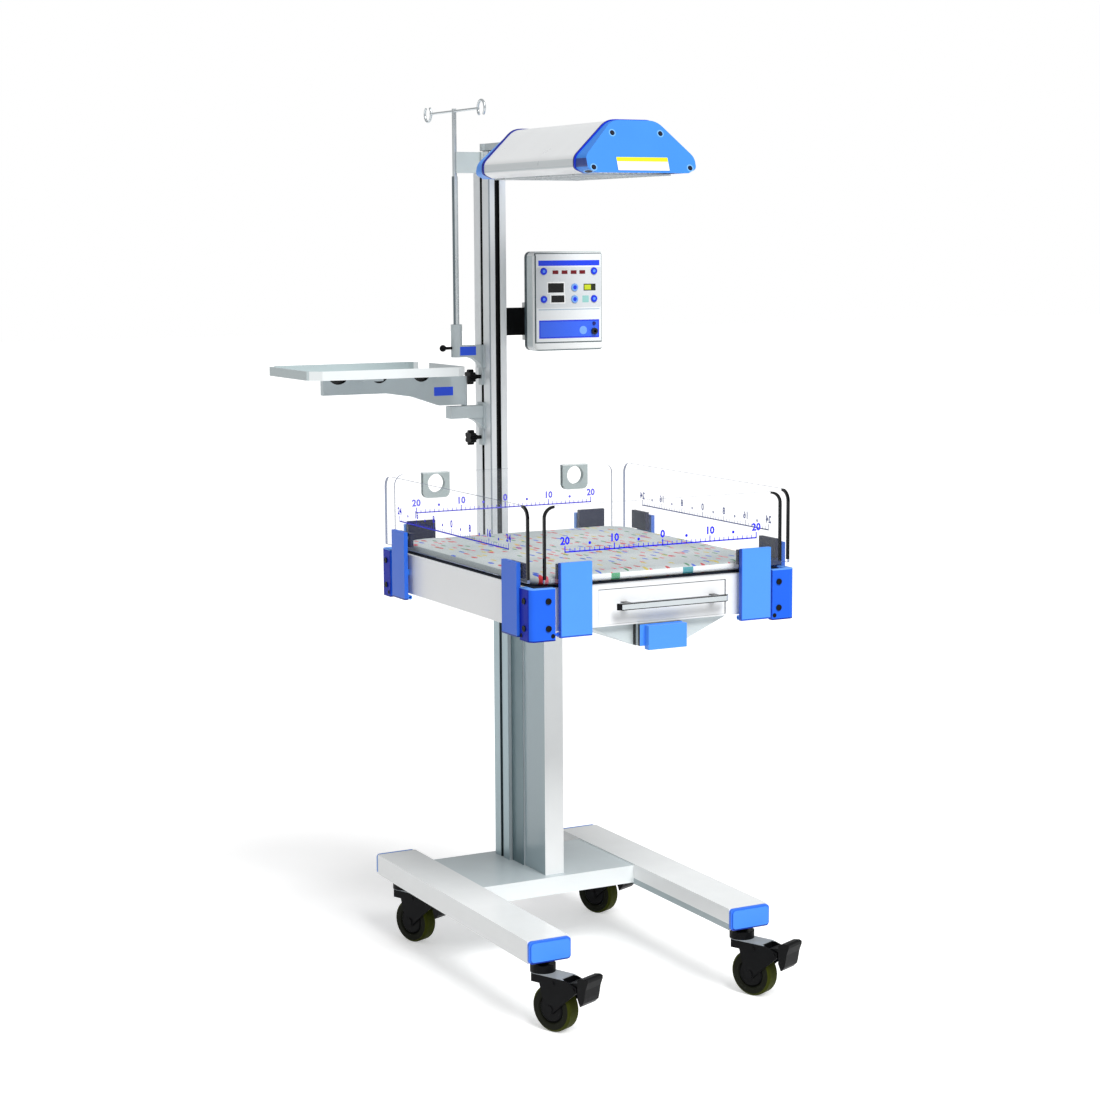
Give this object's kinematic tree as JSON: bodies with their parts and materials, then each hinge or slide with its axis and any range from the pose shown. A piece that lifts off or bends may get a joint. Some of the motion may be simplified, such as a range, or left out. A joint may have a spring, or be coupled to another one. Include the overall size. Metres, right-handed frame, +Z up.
{
  "type": "infant radiant warmer",
  "caption": "Infant radiant warmer: open bed with clear folding sides, overhead heater, control box, infusion pole, side tray and braked casters.",
  "frame": {"origin": "on the floor, straight below the centre of the bed frame", "axes": "+X to the right as seen from the drawer side, +Y from the drawer towards the mast, +Z up"},
  "size_m": [0.7265, 0.9003, 1.718],
  "materials": {
    "white_paint": "satin powder coat",
    "pan_grey": "moulded satin",
    "cap_blue": "moulded satin",
    "clamp_blue": "satin powder coat",
    "extrusion": "clear anodised",
    "bracket_grey": "satin powder coat",
    "steel": "brushed",
    "tray_grey": "moulded satin",
    "caster_steel": "black coat",
    "tread": "matte",
    "black_plastic": "moulded",
    "mattress_cover": "coated cloth",
    "clear": "clear acrylic",
    "port_grey": "soft",
    "heater": "quartz",
    "housing_white": "moulded satin",
    "key_blue": "smooth",
    "key_light": "smooth"
  },
  "bodies": {
    "base": {"base_legs": "white_paint", "leg_end_caps": "cap_blue", "base_plate": "white_paint", "rear_column": "extrusion", "bed_column": "white_paint", "mast_foot": "bracket_grey", "mast": "extrusion", "bed_frame": "white_paint", "corner_blocks": "cap_blue", "underbed_pan": "pan_grey", "panel_clamps_rear": "clamp_blue", "control_bracket": "caster_steel", "iv_brackets": "bracket_grey", "iv_tube": "steel", "tray_bracket": "bracket_grey"},
    "deck": {"mattress_deck": "black_plastic", "mattress": "mattress_cover"},
    "drawer_unit": {"drawer": "white_paint", "drawer_handle": "extrusion"},
    "tilt_release": {"tilt_handle": "clamp_blue"},
    "front_wall": {"panel_front": "clear", "panel_clamps_front": "clamp_blue"},
    "left_wall": {"panel_left": "clear", "panel_clamps_left": "clamp_blue"},
    "right_wall": {"panel_right": "clear", "panel_clamps_right": "clamp_blue"},
    "rear_wall": {"panel_rear": "clear", "tubing_ports": "port_grey"},
    "head": {"head_neck": "bracket_grey", "head_casing": "white_paint", "head_end_caps": "clamp_blue", "reflector": "steel", "heater_tubes": "heater", "guard_grille": "steel"},
    "control_box": {"control_housing": "housing_white", "control_faceplate": "housing_white"},
    "hook_rod": {"iv_rod": "steel"},
    "tray": {"tray_arm": "extrusion", "tray_shelf": "tray_grey"},
    "star_upper": {"knob_upper": "black_plastic"},
    "star_lower": {"knob_lower": "black_plastic"},
    "ball_screw": {"knob_ball": "black_plastic"},
    "fork_fl": {"caster_fork_fl": "caster_steel"},
    "wheel_fl": {"caster_wheel_fl": "tread"},
    "pedal_fl": {"brake_pedal_fl": "black_plastic"},
    "fork_fr": {"caster_fork_fr": "caster_steel"},
    "wheel_fr": {"caster_wheel_fr": "tread"},
    "pedal_fr": {"brake_pedal_fr": "black_plastic"},
    "fork_rl": {"caster_fork_rl": "caster_steel"},
    "wheel_rl": {"caster_wheel_rl": "tread"},
    "pedal_rl": {"brake_pedal_rl": "black_plastic"},
    "fork_rr": {"caster_fork_rr": "caster_steel"},
    "wheel_rr": {"caster_wheel_rr": "tread"},
    "pedal_rr": {"brake_pedal_rr": "black_plastic"},
    "button_alarm": {"key_alarm": "key_blue"},
    "button_mute": {"key_mute": "key_blue"},
    "button_mode": {"key_mode": "key_blue"},
    "button_lamp": {"key_lamp": "key_blue"},
    "button_up": {"key_up": "key_light"},
    "button_down": {"key_down": "key_light"}
  },
  "joints": [
    {"name": "caster_swivel_fl", "type": "hinge", "parent": "base", "child": "fork_fl", "pos_m": [-0.216, -0.248, 0.132], "axis": [0, 0, 1], "continuous": true},
    {"name": "wheel_spin_fl", "type": "hinge", "parent": "fork_fl", "child": "wheel_fl", "pos_m": [-0.20399, -0.27549, 0.044], "axis": [0.9164, 0.4003, 0], "continuous": true},
    {"name": "brake_press_fl", "type": "hinge", "parent": "fork_fl", "child": "pedal_fl", "pos_m": [-0.18157, -0.32681, 0.092], "axis": [0.9164, 0.4003, 0], "range_deg": [0, 14]},
    {"name": "caster_swivel_fr", "type": "hinge", "parent": "base", "child": "fork_fr", "pos_m": [0.216, -0.248, 0.132], "axis": [0, 0, 1], "continuous": true},
    {"name": "wheel_spin_fr", "type": "hinge", "parent": "fork_fr", "child": "wheel_fr", "pos_m": [0.22801, -0.27549, 0.044], "axis": [0.9164, 0.4003, 0], "continuous": true},
    {"name": "brake_press_fr", "type": "hinge", "parent": "fork_fr", "child": "pedal_fr", "pos_m": [0.25043, -0.32681, 0.092], "axis": [0.9164, 0.4003, 0], "range_deg": [0, 14]},
    {"name": "caster_swivel_rl", "type": "hinge", "parent": "base", "child": "fork_rl", "pos_m": [-0.216, 0.378, 0.132], "axis": [0, 0, 1], "continuous": true},
    {"name": "wheel_spin_rl", "type": "hinge", "parent": "fork_rl", "child": "wheel_rl", "pos_m": [-0.20399, 0.35051, 0.044], "axis": [0.9164, 0.4003, 0], "continuous": true},
    {"name": "brake_press_rl", "type": "hinge", "parent": "fork_rl", "child": "pedal_rl", "pos_m": [-0.18157, 0.29919, 0.092], "axis": [0.9164, 0.4003, 0], "range_deg": [0, 14]},
    {"name": "caster_swivel_rr", "type": "hinge", "parent": "base", "child": "fork_rr", "pos_m": [0.216, 0.378, 0.132], "axis": [0, 0, 1], "continuous": true},
    {"name": "wheel_spin_rr", "type": "hinge", "parent": "fork_rr", "child": "wheel_rr", "pos_m": [0.22801, 0.35051, 0.044], "axis": [0.9164, 0.4003, 0], "continuous": true},
    {"name": "brake_press_rr", "type": "hinge", "parent": "fork_rr", "child": "pedal_rr", "pos_m": [0.25043, 0.29919, 0.092], "axis": [0.9164, 0.4003, 0], "range_deg": [0, 14]},
    {"name": "front_panel_fold", "type": "hinge", "parent": "base", "child": "front_wall", "pos_m": [0, -0.322, 0.746], "axis": [1, 0, 0], "range_deg": [0, 170]},
    {"name": "left_panel_fold", "type": "hinge", "parent": "base", "child": "left_wall", "pos_m": [-0.2715, 0, 0.746], "axis": [0, -1, 0], "range_deg": [0, 170]},
    {"name": "right_panel_fold", "type": "hinge", "parent": "base", "child": "right_wall", "pos_m": [0.2715, 0, 0.746], "axis": [0, 1, 0], "range_deg": [0, 170]},
    {"name": "rear_panel_lift", "type": "slide", "parent": "base", "child": "rear_wall", "axis": [0, 0, 1], "range_m": [0, 0.045]},
    {"name": "deck_tilt", "type": "hinge", "parent": "base", "child": "deck", "pos_m": [0, 0.29, 0.822], "axis": [-1, 0, 0], "range_deg": [0, 10]},
    {"name": "drawer_pull", "type": "slide", "parent": "base", "child": "drawer_unit", "axis": [0, -1, 0], "range_m": [0, 0.25]},
    {"name": "tilt_release_pull", "type": "slide", "parent": "base", "child": "tilt_release", "axis": [0, -1, 0], "range_m": [0, 0.012], "stiffness_N_per_m": 300},
    {"name": "head_swivel", "type": "hinge", "parent": "base", "child": "head", "pos_m": [0, 0.3875, 1.622], "axis": [0, 0, 1], "range_deg": [-60, 90]},
    {"name": "control_box_turn", "type": "hinge", "parent": "base", "child": "control_box", "pos_m": [0.075, 0.374, 1.275], "axis": [0, 0, 1], "range_deg": [-20, 45]},
    {"name": "hook_rod_lift", "type": "slide", "parent": "base", "child": "hook_rod", "axis": [0, 0, 1], "range_m": [0, 0.3]},
    {"name": "tray_swing", "type": "hinge", "parent": "base", "child": "tray", "pos_m": [-0.062, 0.3875, 1.135], "axis": [0, 0, 1], "range_deg": [-60, 90]},
    {"name": "upper_knob_turn", "type": "hinge", "parent": "base", "child": "star_upper", "pos_m": [-0.048, 0.3875, 1.163], "axis": [1, 0, 0], "continuous": true},
    {"name": "lower_knob_turn", "type": "hinge", "parent": "base", "child": "star_lower", "pos_m": [-0.048, 0.3875, 1.038], "axis": [1, 0, 0], "continuous": true},
    {"name": "ball_screw_turn", "type": "hinge", "parent": "base", "child": "ball_screw", "pos_m": [-0.1, 0.3875, 1.223], "axis": [1, 0, 0], "continuous": true},
    {"name": "key_press_alarm", "type": "slide", "parent": "control_box", "child": "button_alarm", "axis": [0, 1, 0], "range_m": [0, 0.0008], "stiffness_N_per_m": 1500},
    {"name": "key_press_mute", "type": "slide", "parent": "control_box", "child": "button_mute", "axis": [0, 1, 0], "range_m": [0, 0.0008], "stiffness_N_per_m": 1500},
    {"name": "key_press_mode", "type": "slide", "parent": "control_box", "child": "button_mode", "axis": [0, 1, 0], "range_m": [0, 0.0008], "stiffness_N_per_m": 1500},
    {"name": "key_press_lamp", "type": "slide", "parent": "control_box", "child": "button_lamp", "axis": [0, 1, 0], "range_m": [0, 0.0008], "stiffness_N_per_m": 1500},
    {"name": "key_press_up", "type": "slide", "parent": "control_box", "child": "button_up", "axis": [0, 1, 0], "range_m": [0, 0.0008], "stiffness_N_per_m": 1500},
    {"name": "key_press_down", "type": "slide", "parent": "control_box", "child": "button_down", "axis": [0, 1, 0], "range_m": [0, 0.0008], "stiffness_N_per_m": 1500}
  ]
}
